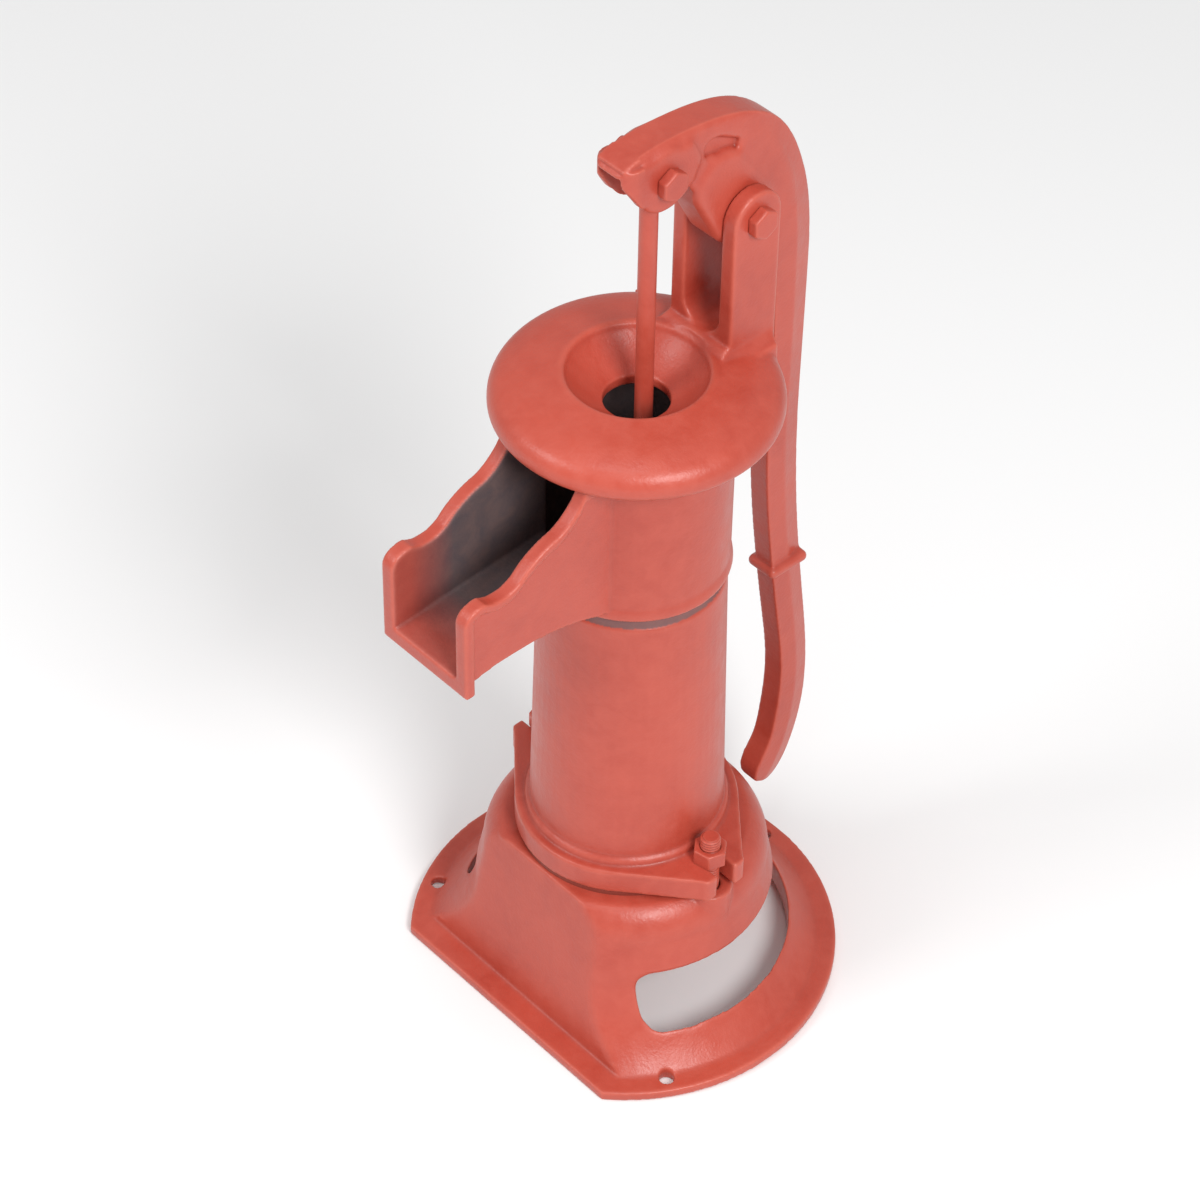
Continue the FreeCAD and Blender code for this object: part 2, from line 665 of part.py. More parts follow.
# Sections of the lever, from its tip up the arm and over the head to the beak.  Each is its back edge
# and its front edge in the YZ plane, its half width, and its half width at the bevelled back edge.
LEVER_SECTIONS = [
    ((90.2, 47.4), (81.6, 52.6), 4.0, 2.4),
    ((96.2, 51.0), (79.4, 60.0), 5.6, 2.6),
    ((104.8, 65.1), (85.8, 73.5), 5.9, 2.6),
    ((110.3, 84.9), (90.2, 90.0), 5.9, 2.6),
    ((112.1, 110.0), (92.4, 113.0), 5.9, 2.6),
    ((107.1, 158.2), (88.0, 155.5), 5.9, 2.6),
    ((99.9, 212.2), (80.0, 209.0), 5.9, 2.6),
    ((96.3, 262.0), (75.2, 260.0), 5.9, 2.6),
    ((95.8, 315.0), (74.5, 315.0), 6.5, 2.8),
    ((95.8, 365.0), (72.0, 365.0), 7.4, 3.0),
    ((93.5, 397.3), (69.5, 391.0), 8.5, 3.4),
    ((87.4, 421.2), (66.5, 409.5), 8.7, 3.8),
    ((77.0, 442.6), (60.5, 427.5), 8.7, 4.8),
    ((64.0, 456.7), (52.8, 439.0), 8.7, 6.6),
    ((50.0, 464.5), (43.8, 446.0), 8.7, 7.8),
    ((34.0, 469.0), (31.5, 450.0), 8.7, 8.2),
    ((14.0, 471.2), (14.0, 452.0), 8.9, 8.3),
    ((-6.0, 470.8), (-3.5, 456.0), 9.0, 8.3),
    ((-17.6, 467.2), (-16.0, 461.5), 8.8, 8.2),
]
HEAD_OUTLINE = [(72, 393), (56.5, 404), (38.5, 405), (18, 445), (4, 446), (-12, 455), (-5, 466), (14, 468),
                (34, 465), (50, 459), (61, 450), (71, 437), (79, 419), (82, 397)]
CHEEK_OUTLINE = [(-15.5, 467), (-19, 464.6), (-17.8, 459.5), (-10.3, 448), (6, 443.5), (19, 446),
                 (23, 457), (18, 467)]
DENT_OUTLINE = [(26.5, 453), (27.5, 460), (34, 460), (46, 453.5), (45, 449), (36, 451)]
NECK_TOP = (36.5, 436.5, 15.0)


def yz(points):
    return [FreeCAD.Vector(0, y, z) for y, z in points]


def slab(face, half):
    """A face in the YZ plane thickened to both sides."""
    moved = face.copy()
    moved.translate(FreeCAD.Vector(-half, 0, 0))
    return moved.extrude(FreeCAD.Vector(2 * half, 0, 0))


def lever_section(back, front, half, back_half):
    """One six-sided section of the lever: flat sides, then a bevel from half way to its back edge."""
    ridge = [(b + f) / 2 for b, f in zip(back, front)]
    corners = [(half, front), (half, ridge), (back_half, back), (-back_half, back), (-half, ridge),
               (-half, front)]
    points = [FreeCAD.Vector(x, *spot) for x, spot in corners]
    return Part.makePolygon(points + points[:1])


def bar_x(radius, half, y, z):
    """A round bar along X, centred on the YZ plane."""
    return Part.makeCylinder(radius, 2 * half, FreeCAD.Vector(-half, y, z), FreeCAD.Vector(1, 0, 0))


def lobe_x(first, second, half):
    """A slab round two circles in the YZ plane, each given as (y, z, radius)."""
    (y0, z0, r0), (y1, z1, r1) = first, second
    length = math.hypot(y1 - y0, z1 - z0)
    across = FreeCAD.Vector(0, z1 - z0, y0 - y1) * (1 / length)
    start, end = FreeCAD.Vector(0, y0, z0), FreeCAD.Vector(0, y1, z1)
    corners = [start + across * r0, end + across * r1, end - across * r1, start - across * r0]
    middle = slab(Part.Face(Part.makePolygon(corners + corners[:1])), half)
    return middle.fuse([bar_x(r0, half, y0, z0), bar_x(r1, half, y1, z1)])


def polygon_slab(points, half):
    """A polygon in the YZ plane thickened to both sides."""
    return slab(Part.Face(Part.makePolygon(yz(points + points[:1]))), half)


def make_arm_collar():
    """The soft band round the arm, above the hand grip."""
    half = 8.6
    band = Part.makeBox(2 * half, 23, 5.4, FreeCAD.Vector(-half, 79.6, 188))
    return band.makeFillet(2.4, band.Edges)


def nose_corner(side, radius):
    """What is cut off the beak's corner to round it as seen from above."""
    x = side * (amount("cheek_half") - radius)
    y = CHEEK_OUTLINE[1][0] + radius
    corner = Part.makeBox(radius + 3, radius + 5, 60,
                          FreeCAD.Vector(x if side > 0 else x - radius - 3, y - radius - 5, 430))
    return corner.cut(Part.makeCylinder(radius, 60, FreeCAD.Vector(x, y, 430)))


def make_lever():
    pin_y, pin_z = crank_point()
    hub_y, hub_z = amount("fulcrum_y"), amount("fulcrum_z")
    arm = Part.makeLoft([lever_section(*section) for section in LEVER_SECTIONS], True, False)
    head = polygon_slab(HEAD_OUTLINE, amount("head_half"))
    neck = lobe_x(NECK_TOP, (hub_y, hub_z, amount("hub_r")), amount("hub_half")).removeSplitter()
    neck = neck.makeFillet(3.0, [e for e in neck.Edges if e.BoundBox.XLength < 0.01])
    cheeks = bar_x(amount("cheek_r"), amount("cheek_half"), pin_y, pin_z).fuse(
        polygon_slab(CHEEK_OUTLINE, amount("cheek_half"))).removeSplitter()
    pocket = polygon_slab([(-30, 463.4), (-8, 463.6), (-4, 466.4), (pin_y + 9, 466.4), (pin_y + 14, 460),
                           (pin_y + 14, pin_z - 12), (pin_y + 10, pin_z - 40), (-30, pin_z - 40)],
                          amount("rod_slot"))
    dents = polygon_slab(DENT_OUTLINE, 20).cut(polygon_slab(DENT_OUTLINE, amount("head_half") - 2.5))
    hole = amount("pin_r") + amount("pin_play")
    solid = arm.fuse([head, make_arm_collar()]).cut(dents).fuse([neck, cheeks])
    solid = solid.cut([pocket, nose_corner(1, 8.0), nose_corner(-1, 8.0),
                       bar_x(hole, 20, hub_y, hub_z), bar_x(hole, 20, pin_y, pin_z)])
    lever = doc.addObject("Part::Feature", "lever")
    lever.Shape = solid.removeSplitter()
    lever.Placement = FreeCAD.Placement()
    return lever


# ---------------------------------------------------------------- plunger rod
def make_plunger_rod():
    """The rod: an eye on the lever's bolt, and a plain stem down into the plunger's crown."""
    pin_y, pin_z = crank_point()
    low = D["plunger_z"] + D["crown_low"] - 9.6
    eye = cylinder("rod_eye", D["eye_r"], D["eye_half"] * 2, (-D["eye_half"], pin_y, pin_z), "X")
    stem = cylinder("rod_stem", D["rod_r"], size(pin_z - 6) - low, (0, pin_y, low))
    hole = cylinder("rod_eye_hole", D["pin_r"] + D["pin_play"], 30, (-15, pin_y, pin_z), "X")
    rod = cut("rod_forging", fuse("rod_solid", stem, eye), hole)
    rod.Label = "plunger_rod"
    return rod


# ---------------------------------------------------------------- fasteners
def hexagon(across_flats):
    """The corners of a hexagon about the origin."""
    corner = size(across_flats) / math.sqrt(3)
    return [(corner * math.cos(math.radians(60 * i)), corner * math.sin(math.radians(60 * i)))
            for i in range(6)]


def hex_body(name, across_flats, height):
    """A PartDesign body that starts as a hexagonal prism standing on the XY plane."""
    body = doc.addObject("PartDesign::Body", name)
    pad = body.newObject("PartDesign::Pad", name + "_hexagon")
    pad.Profile = body_sketch(body, name + "_hexagon_outline", "XY", hexagon(across_flats))
    bind(pad, "Length", height)
    doc.recompute()
    return body, pad


def crown_chamfer(body, name, across_flats, height):
    """The 30 degree cone that rounds the corners of a hexagon at its free end."""
    corner = across_flats / math.sqrt(3)
    groove = body.newObject("PartDesign::Groove", name + "_crown")
    flat = across_flats / 2
    groove.Profile = body_sketch(body, name + "_crown_outline", "XZ", [
        (flat, height),
        (corner + 1, height - (corner + 1 - flat) * math.tan(math.radians(30))),
        (corner + 1, height + 1),
        (flat, height + 1),
    ])
    groove.ReferenceAxis = (groove.Profile[0], ["V_Axis"])
    groove.Angle = 360
    doc.recompute()
    return groove


def hex_bolt(name, across_flats, head, radius, length):
    """A hex bolt: head standing up from the XY plane, shank hanging down from it."""
    body, _ = hex_body(name, across_flats, head)
    crown_chamfer(body, name, across_flats, head)
    shank = body.newObject("PartDesign::Pad", name + "_shank")
    shank.Profile = body_sketch(body, name + "_shank_circle", "XY", circle=radius)
    shank.Reversed = True
    bind(shank, "Length", length)
    doc.recompute()
    tip = [e for e in shank.Shape.Edges
           if abs(e.BoundBox.ZMin + size(length).value) < 0.01 and e.BoundBox.ZLength < 0.01]
    names = ["Edge%d" % (i + 1) for i, e in enumerate(shank.Shape.Edges) for t in tip if e.isSame(t)]
    chamfer = body.newObject("PartDesign::Chamfer", name + "_tip")
    chamfer.Base = (shank, names)
    chamfer.Size = 0.8
    doc.recompute()
    return body


def hex_nut(name, across_flats, height, radius):
    """A hex nut standing on the XY plane, bored a little larger than its bolt."""
    body, _ = hex_body(name, across_flats, height)
    crown_chamfer(body, name, across_flats, height)
    hole = body.newObject("PartDesign::Pocket", name + "_bore")
    hole.Profile = body_sketch(body, name + "_bore_circle", "XY", circle=size(radius) + D["pin_play"])
    hole.Reversed = True
    hole.Type = "Length"
    hole.Length = height + 1
    doc.recompute()
    return body


def washer_ring(name, outer, thickness, y, z):
    """A flat washer round the rod, with its axis along Z."""
    ring = cylinder(name + "_outer", outer, thickness, (0, y, z))
    hole = cylinder(name + "_inner", D["rod_r"] + D["pin_play"], size(thickness) + 2, (0, y, z - 1))
    return cut(name, ring, hole)


def lay_along_x(body, x, y, z, outward):
    """Turn a body so that its +Z points along +X or -X, and put it in place."""
    turn = FreeCAD.Rotation(FreeCAD.Vector(0, 1, 0), 90 if outward > 0 else -90)
    body.Placement = FreeCAD.Placement(FreeCAD.Vector(x, y, z), turn)


def make_flange_fasteners():
    """Two 3/8 in bolts that come up through the base, with their nuts on the barrel's ears."""
    under_lug = 71.0
    bolt = hex_bolt("flange_bolt_blank", 14.3, 6.0, 4.7, amount("flange_top") + 14.5 - under_lug)
    nut = hex_nut("flange_nut_blank", 14.3, 8.4, 4.7)
    x = amount("flange_bolt_x")
    spots = ((x, 0, 0, 12), (-x, 0, 0, 40))
    bolt_shape = bolt.Shape.copy()
    bolt_shape.rotate(FreeCAD.Vector(0, 0, 0), FreeCAD.Vector(1, 0, 0), 180)
    bolt_shape.translate(FreeCAD.Vector(0, 0, under_lug))
    nut_shape = nut.Shape.copy()
    nut_shape.translate(FreeCAD.Vector(0, 0, amount("flange_top")))
    bolts = copies("flange_bolt_pair", bolt_shape, spots)
    bolts.Label = "flange_bolts"
    nuts = copies("flange_nut_pair", nut_shape, spots)
    nuts.Label = "flange_nuts"
    return [bolts, nuts]


def make_cross_bolt(label, half, y, z):
    """A bolt along X with its nut: head at +X, nut at -X."""
    bolt = hex_bolt(label + "_body", 12.7, 5.2, amount("pin_r"), 2 * half + 9.0)
    lay_along_x(bolt, half, y, z, 1)
    bolt.Label = label
    nut = hex_nut(label + "_nut_body", 12.7, 6.8, amount("pin_r"))
    lay_along_x(nut, -half, y, z, -1)
    nut.Label = label + "_nut"
    return [bolt, nut]


def make_set_screw():
    """The square-headed screw that locks the top on the barrel's collar."""
    body = doc.addObject("PartDesign::Body", "set_screw_body")
    half = 3.6
    head = body.newObject("PartDesign::Pad", "set_screw_head")
    head.Profile = body_sketch(body, "set_screw_square", "XY",
                               [(-half, -half), (half, -half), (half, half), (-half, half)])
    head.Length = 5.5
    shank = body.newObject("PartDesign::Pad", "set_screw_shank")
    shank.Profile = body_sketch(body, "set_screw_circle", "XY", circle=3.15)
    shank.Reversed = True
    bind(shank, "Length", D["cap_r"] + 1 - D["collar_r"] - 0.35)
    doc.recompute()
    body.Placement = set_screw_placement(amount("cap_r") + 1)
    body.Label = "cap_set_screw"
    return body


# ---------------------------------------------------------------- foot valve
def turned_body(name, points):
    """A PartDesign body turned about the Z axis from (radius, height) points."""
    body = doc.addObject("PartDesign::Body", name)
    turned = body.newObject("PartDesign::Revolution", name + "_turned")
    turned.Profile = body_sketch(body, name + "_outline", "XZ", points)
    turned.ReferenceAxis = (turned.Profile[0], ["V_Axis"])
    turned.Angle = 360
    doc.recompute()
    return body


def make_foot_valve():
    """The leather between base and barrel, and its weighted flap over the water way."""
    seat = D["deck_z"]
    top = D["deck_z"] + D["gasket_z"]
    gasket = turned_body("foot_valve_gasket", [
        (28, seat), (D["flange_r"] - 1.2, seat), (D["flange_r"] - 1.2, top), (28, top)])
    flap = fuse("flap_solid",
                cylinder("flap_disc", 22.5, D["gasket_z"], (0, 0, seat)),
                box("flap_tongue", (-8, 15, seat), (8, 26.2, top)))
    flap_hole = cylinder("flap_hole", 3.2, 10, (0, 0, seat - 2))
    flap = cut("flap", flap, flap_hole)
    flap.Label = "foot_valve_flap"
    weight = turned_body("foot_valve_weight", [
        (3.2, top), (17, top), (17, top + 5), (14, top + 8, 4), (3.2, top + 8)])
    bolt = hex_bolt("foot_valve_bolt", 11.0, 3.4, 3.1, 18.5)
    bolt.Placement = FreeCAD.Placement(FreeCAD.Vector(0, 0, seat.value),
                                       FreeCAD.Rotation(FreeCAD.Vector(1, 0, 0), 180))
    nut = hex_nut("foot_valve_nut", 11.0, 5.4, 3.1)
    nut.Placement = FreeCAD.Placement(FreeCAD.Vector(0, 0, top.value + 8), FreeCAD.Rotation())
    return [gasket, flap, weight, bolt, nut]


# ---------------------------------------------------------------- plunger
def make_plunger_cage():
    """The cage over the poppet: a threaded ring, four legs and a crown slotted for the rod."""
    low = D["plunger_z"]
    crown_low = low + D["crown_low"]
    crown_top = crown_low + D["crown_thick"]
    ring = revolve("cage_ring", [
        (20.05, low + 8.4), (34.5, low + 8.4), (34.5, low + 18), (20.05, low + 18)])
    arms = [box("cage_arm_0", (-33, -4.5, low + 17), (33, 4.5, crown_top)),
            box("cage_arm_1", (-4.5, -33, low + 17), (4.5, 33, crown_top))]
    room = cylinder("cage_room", 26, size(crown_low) - low, (0, 0, low))
    slope = revolve("cage_slope", [(25, crown_top), (40, crown_top - 26), (40, crown_top)])
    legs = cut("cage_legs", fuse("cage_arms", *arms), room, slope)
    crown = cylinder("cage_crown", 19, D["crown_thick"], (0, 0, crown_low))
    slot_r = D["rod_r"] + 0.4
    near = crank_point()[0]
    far = size(near) - D["sway"]
    slot = box("crown_slot", (-slot_r, far, low + 30), (slot_r, near, low + 60))
    slot_ends = [cylinder("crown_slot_end_%d" % i, slot_r, 30, (0, y, low + 30))
                 for i, y in enumerate((near, far))]
    cage = cut("cage", fuse("cage_solid", ring, legs, crown), slot, *slot_ends)
    cage.Label = "plunger_cage"
    return cage


def make_rod_hardware():
    """The nuts above and below the crown and the washers under them, all riding on the rod."""
    y = crank_point()[0]
    low = amount("plunger_z") + amount("crown_low")
    high = low + amount("crown_thick")
    gap = amount("crown_play")
    washer = 1.6
    nut = hex_nut("rod_nut_blank", 13.0, 5.4, amount("rod_r"))
    rings = [washer_ring("rod_washer_%d" % i, 9.5, washer, y, z)
             for i, z in enumerate((high + gap, low - gap - washer))]
    washers = doc.addObject("Part::Compound", "rod_washer_pair")
    washers.Links = rings
    washers.Label = "rod_end_washers"
    nuts = copies("rod_nut_pair", nut.Shape, (
        (0, y, high + gap + washer, 20), (0, y, low - gap - washer - 5.4, 50)))
    nuts.Label = "rod_end_nuts"
    return [washers, nuts]


def make_plunger():
    low = D["plunger_z"]
    leather = turned_body("cup_leather", [
        (20.05, low + 5), (D["cup_r"] - 3, low + 5), (D["cup_r"], low + 8, 3), (D["cup_r"], low + 23),
        (34.9, low + 21), (34.9, low + 8.4), (20.05, low + 8.4)])
    leather.Label = "plunger_cup"
    follower = turned_body("plunger_follower", [
        (13, low), (32, low), (33.5, low + 1.5, 1.5), (33.5, low + 5), (20, low + 5),
        (20, low + 17), (13, low + 17)])
    disc = cylinder("poppet_disc", 17.5, 3.6, (0, 0, low + 17))
    stem = cylinder("poppet_stem", 4, 14, (0, 0, low + 3))
    wings = [box("poppet_wing_0", (-12.6, -1.5, low + 3), (12.6, 1.5, low + 17)),
             box("poppet_wing_1", (-1.5, -12.6, low + 3), (1.5, 12.6, low + 17))]
    poppet = fuse("poppet", disc, stem, *wings)
    poppet.Label = "plunger_valve"
    return [make_plunger_cage(), leather, follower, poppet]


# ---------------------------------------------------------------- assembly and export
def check_document():
    """Stop if any object of the document failed."""
    bad = [o.Name for o in doc.Objects if "Invalid" in o.State or "Error" in o.State]
    if bad:
        raise RuntimeError("failed objects: " + ", ".join(bad))


def export(nodes):
    os.makedirs("parts", exist_ok=True)
    for node in nodes:
        shape = node.Shape
        if shape.isNull() or not shape.isValid() or not shape.Solids:
            raise RuntimeError("bad shape: " + node.Label)
    for node in nodes:
        node.Shape.exportStep("parts/%s.step" % node.Label)
        print(node.Label, len(node.Shape.Solids), round(node.Shape.Volume))


pin_y, pin_z = crank_point()
nodes = [make_base(), make_cylinder(), make_cap(), make_lever(), make_plunger_rod()]
nodes += make_flange_fasteners()
nodes += make_cross_bolt("fulcrum_bolt", amount("fork_half"), amount("fulcrum_y"), amount("fulcrum_z"))
nodes += make_cross_bolt("rod_bolt", amount("cheek_half"), pin_y, pin_z)
nodes += [make_set_screw()]
nodes += make_foot_valve()
nodes += make_plunger()
nodes += make_rod_hardware()
doc.recompute()
check_document()
export(nodes)
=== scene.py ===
import json
import math

import bmesh
import bpy
from mathutils import Matrix, Vector


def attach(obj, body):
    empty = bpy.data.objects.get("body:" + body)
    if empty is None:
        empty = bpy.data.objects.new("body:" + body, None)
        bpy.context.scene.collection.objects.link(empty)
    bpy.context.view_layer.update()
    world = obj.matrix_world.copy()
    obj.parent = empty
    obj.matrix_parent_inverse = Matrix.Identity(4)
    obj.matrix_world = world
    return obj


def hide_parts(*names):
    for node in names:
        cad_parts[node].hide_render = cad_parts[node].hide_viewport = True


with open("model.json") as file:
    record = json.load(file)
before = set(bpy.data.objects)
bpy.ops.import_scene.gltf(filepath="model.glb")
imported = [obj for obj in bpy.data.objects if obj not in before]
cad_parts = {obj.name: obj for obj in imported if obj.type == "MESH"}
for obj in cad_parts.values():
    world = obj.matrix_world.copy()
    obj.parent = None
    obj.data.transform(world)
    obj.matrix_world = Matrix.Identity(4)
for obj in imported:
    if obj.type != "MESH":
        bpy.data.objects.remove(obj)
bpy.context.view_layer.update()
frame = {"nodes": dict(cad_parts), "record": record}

# The looks of a hand well pump.  The castings are remeshed from the imported model, so that every edge
# is rounded as a sand casting's is, and get a paint lighter on edges, as wear and as a painted highlight,
# with painted shade in corners.

NODES = frame["nodes"]
BODIES = frame["record"]["behaviour"]["bodies"]
BODY_OF = {node: body for body, members in BODIES.items() for node in members}
SLOT_OF = {entry["node"]: entry["material_slot"] for entry in frame["record"]["subparts"]}
MM = 0.001


# ---------------------------------------------------------------- materials
class Graph:
    """A short way to write a material's nodes."""

    def __init__(self, name):
        self.material = bpy.data.materials.new(name)
        self.material.use_nodes = True
        self.tree = self.material.node_tree
        self.tree.nodes.clear()
        self.output = self.node("ShaderNodeOutputMaterial")
        self.shader = self.node("ShaderNodeBsdfPrincipled")
        self.link(self.shader.outputs[0], self.output.inputs["Surface"])
        self.place = self.node("ShaderNodeTexCoord").outputs["Object"]

    def node(self, kind, **settings):
        made = self.tree.nodes.new(kind)
        for key, value in settings.items():
            setattr(made, key, value)
        return made

    def link(self, a, b):
        self.tree.links.new(a, b)

    def noise(self, scale, detail=3.0, rough=0.5, distortion=0.0):
        made = self.node("ShaderNodeTexNoise")
        self.link(self.place, made.inputs["Vector"])
        made.inputs["Scale"].default_value = scale
        made.inputs["Detail"].default_value = detail
        made.inputs["Roughness"].default_value = rough
        made.inputs["Distortion"].default_value = distortion
        return made.outputs["Fac"]

    def ramp(self, source, *stops):
        """A colour ramp from (place, colour) stops; a number stands for a grey."""
        made = self.node("ShaderNodeValToRGB")
        self.link(source, made.inputs["Fac"])
        bar = made.color_ramp
        while len(bar.elements) < len(stops):
            bar.elements.new(0.5)
        for element, (place, colour) in zip(bar.elements, stops):
            element.position = place
            if isinstance(colour, (int, float)):
                colour = (colour, colour, colour)
            element.color = (*colour, 1.0)
        return made.outputs["Color"]

    def mix(self, amount, a, b, blend="MIX"):
        made = self.node("ShaderNodeMix", data_type="RGBA", blend_type=blend)
        for socket, value in ((made.inputs[0], amount), (made.inputs[6], a), (made.inputs[7], b)):
            if isinstance(value, (int, float)):
                socket.default_value = value
            elif isinstance(value, tuple):
                socket.default_value = (*value, 1.0)
            else:
                self.link(value, socket)
        return made.outputs[2]

    def bump(self, height, distance, strength, before=None):
        made = self.node("ShaderNodeBump")
        made.inputs["Distance"].default_value = distance
        made.inputs["Strength"].default_value = strength
        self.link(height, made.inputs["Height"])
        if before is not None:
            self.link(before, made.inputs["Normal"])
        return made.outputs["Normal"]

    def curvature(self):
        return self.node("ShaderNodeNewGeometry").outputs["Pointiness"]

    def finish(self, colour, rough, normal, **constants):
        self.link(colour, self.shader.inputs["Base Color"])
        self.link(rough, self.shader.inputs["Roughness"])
        self.link(normal, self.shader.inputs["Normal"])
        for key, value in constants.items():
            self.shader.inputs[key.replace("_", " ")].default_value = value
        return self.material


def red_paint():
    """Orange-red enamel over a sand casting, giving way to a dark iron colour where the mesh is marked:
    bare iron in the bore, painted shade in the spout's inside and the bead's groove.
    """
    g = Graph("red_paint")
    cloudy = g.noise(14, 4, 0.55)
    mottled = g.noise(120, 5, 0.6, 0.4)
    base = g.ramp(cloudy, (0.3, (0.40, 0.050, 0.030)), (0.7, (0.50, 0.072, 0.043)))
    base = g.mix(g.ramp(mottled, (0.35, 0.0), (0.75, 0.45)), base, (0.54, 0.100, 0.066))
    # Convex edges turn lighter: partly paint worn thin, partly a painted highlight.
    edge_wear_and_highlight = g.ramp(g.curvature(), (0.50, 0.0), (0.60, 0.55))
    base = g.mix(edge_wear_and_highlight, base, (0.70, 0.19, 0.13))
    # Concave corners and creases darken almost to black-red: painted shade.
    corner_shade = g.ramp(g.curvature(), (0.40, 0.85), (0.495, 0.0))
    base = g.mix(corner_shade, base, (0.13, 0.020, 0.018))
    rough = g.ramp(mottled, (0.3, 0.31), (0.8, 0.47))
    # A dark iron colour wherever the mesh is marked: bare metal in the bore, painted shade in the spout's
    # inside and under the bead.
    iron_and_shade = g.ramp(g.noise(90, 5, 0.65, 0.5), (0.35, (0.105, 0.078, 0.084)), (0.7, (0.165, 0.105, 0.098)))
    bare_and_shade = g.node("ShaderNodeAttribute", attribute_name="bare_and_shade").outputs["Fac"]
    base = g.mix(bare_and_shade, base, iron_and_shade)
    rough = g.mix(bare_and_shade, rough, (0.72, 0.72, 0.72))
    waves = g.bump(g.noise(70, 2, 0.5), 0.0010, 0.35)
    grain = g.bump(g.noise(650, 3, 0.6), 0.00035, 0.45, waves)
    return g.finish(base, rough, grain, Specular_IOR_Level=0.5)


def bare_iron():
    """Unpainted grey casting, damp and a little rusty."""
    g = Graph("bare_iron")
    mottled = g.noise(90, 5, 0.65, 0.5)
    base = g.ramp(mottled, (0.35, (0.13, 0.12, 0.115)), (0.6, (0.22, 0.20, 0.185)),
                  (0.8, (0.27, 0.13, 0.07)))
    rough = g.ramp(mottled, (0.3, 0.45), (0.8, 0.75))
    grain = g.bump(g.noise(700, 3, 0.6), 0.0003, 0.6)
    return g.finish(base, rough, grain, Metallic=0.75)


def plain_steel():
    """Dull bright steel."""
    g = Graph("plain_steel")
    fine = g.noise(400, 4, 0.6)
    base = g.ramp(fine, (0.3, (0.42, 0.41, 0.40)), (0.8, (0.58, 0.57, 0.55)))
    rough = g.ramp(fine, (0.3, 0.28), (0.8, 0.45))
    return g.finish(base, rough, g.bump(fine, 0.0001, 0.4), Metallic=1.0)


def brass():
    """Turned brass, a little dulled."""
    g = Graph("brass")
    cloudy = g.noise(60, 4, 0.6)
    base = g.ramp(cloudy, (0.3, (0.52, 0.34, 0.13)), (0.8, (0.74, 0.54, 0.26)))
    rough = g.ramp(cloudy, (0.3, 0.25), (0.8, 0.42))
    return g.finish(base, rough, g.bump(g.noise(900, 2), 0.00008, 0.5), Metallic=1.0)


def leather():
    """Thick oiled pump leather with its grain, and dark red paint on it beyond the barrel's flange, darker
    than the paint elsewhere as painted shade under the flange.
    """
    g = Graph("leather")
    cell = g.node("ShaderNodeTexVoronoi", feature="DISTANCE_TO_EDGE")
    g.link(g.place, cell.inputs["Vector"])
    cell.inputs["Scale"].default_value = 700
    cloudy = g.noise(80, 4, 0.6)
    base = g.ramp(cloudy, (0.3, (0.16, 0.08, 0.04)), (0.75, (0.33, 0.18, 0.09)))
    flat = g.node("ShaderNodeVectorMath", operation="MULTIPLY")
    g.link(g.place, flat.inputs[0])
    flat.inputs[1].default_value = (1, 1, 0)
    radius = g.node("ShaderNodeVectorMath", operation="LENGTH")
    g.link(flat.outputs[0], radius.inputs[0])
    # Beyond the flange's radius the leather's edge takes a dark red: paint, darkened as painted shade under
    # the flange.
    paint_and_shade = g.ramp(radius.outputs["Value"], (0.0490, 0.0), (0.0495, 1.0))
    base = g.mix(paint_and_shade, base, (0.24, 0.034, 0.024))
    rough = g.ramp(cloudy, (0.3, 0.5), (0.8, 0.72))
    grain = g.bump(cell.outputs["Distance"], 0.0003, 0.5)
    return g.finish(base, rough, grain)


MATERIALS = {maker.__name__: maker() for maker in (red_paint, bare_iron, plain_steel, brass, leather)}


# ---------------------------------------------------------------- pieces
def piece_from(mesh, name, node):
    """Put a finished mesh in the scene in place of a CAD node."""
    mesh.materials.clear()
    mesh.materials.append(MATERIALS[SLOT_OF[node]])
    for face in mesh.polygons:
        face.use_smooth = True
    piece = bpy.data.objects.new(name, mesh)
    bpy.context.scene.collection.objects.link(piece)
    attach(piece, BODY_OF[node])
    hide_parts(node)
    return piece


def applied(mesh, *modifiers):
    """A mesh with modifiers applied, each given as (type, settings)."""
    holder = bpy.data.objects.new("holder", mesh)
    bpy.context.scene.collection.objects.link(holder)
    for kind, settings in modifiers:
        modifier = holder.modifiers.new(kind, kind)
        for key, value in settings.items():
            setattr(modifier, key, value)
    graph = bpy.context.evaluated_depsgraph_get()
    result = bpy.data.meshes.new_from_object(holder.evaluated_get(graph))
    bpy.data.objects.remove(holder)
    return result


def welded(node):
    """A CAD node's mesh with its split vertices joined."""
    work = bmesh.new()
    work.from_mesh(NODES[node].data)
    bmesh.ops.remove_doubles(work, verts=work.verts, dist=2e-6)
    mesh = bpy.data.meshes.new(node + "_welded")
    work.to_mesh(mesh)
    work.free()
    return mesh


# Places on the barrel casting, in millimetres.
BORE_R = 38.9
SPOUT_HALF = 20.2
SPOUT_MOUTH_Y = -117.2
GROOVE_LOW, GROOVE_HIGH, GROOVE_R = 242.6, 249.2, 41.3


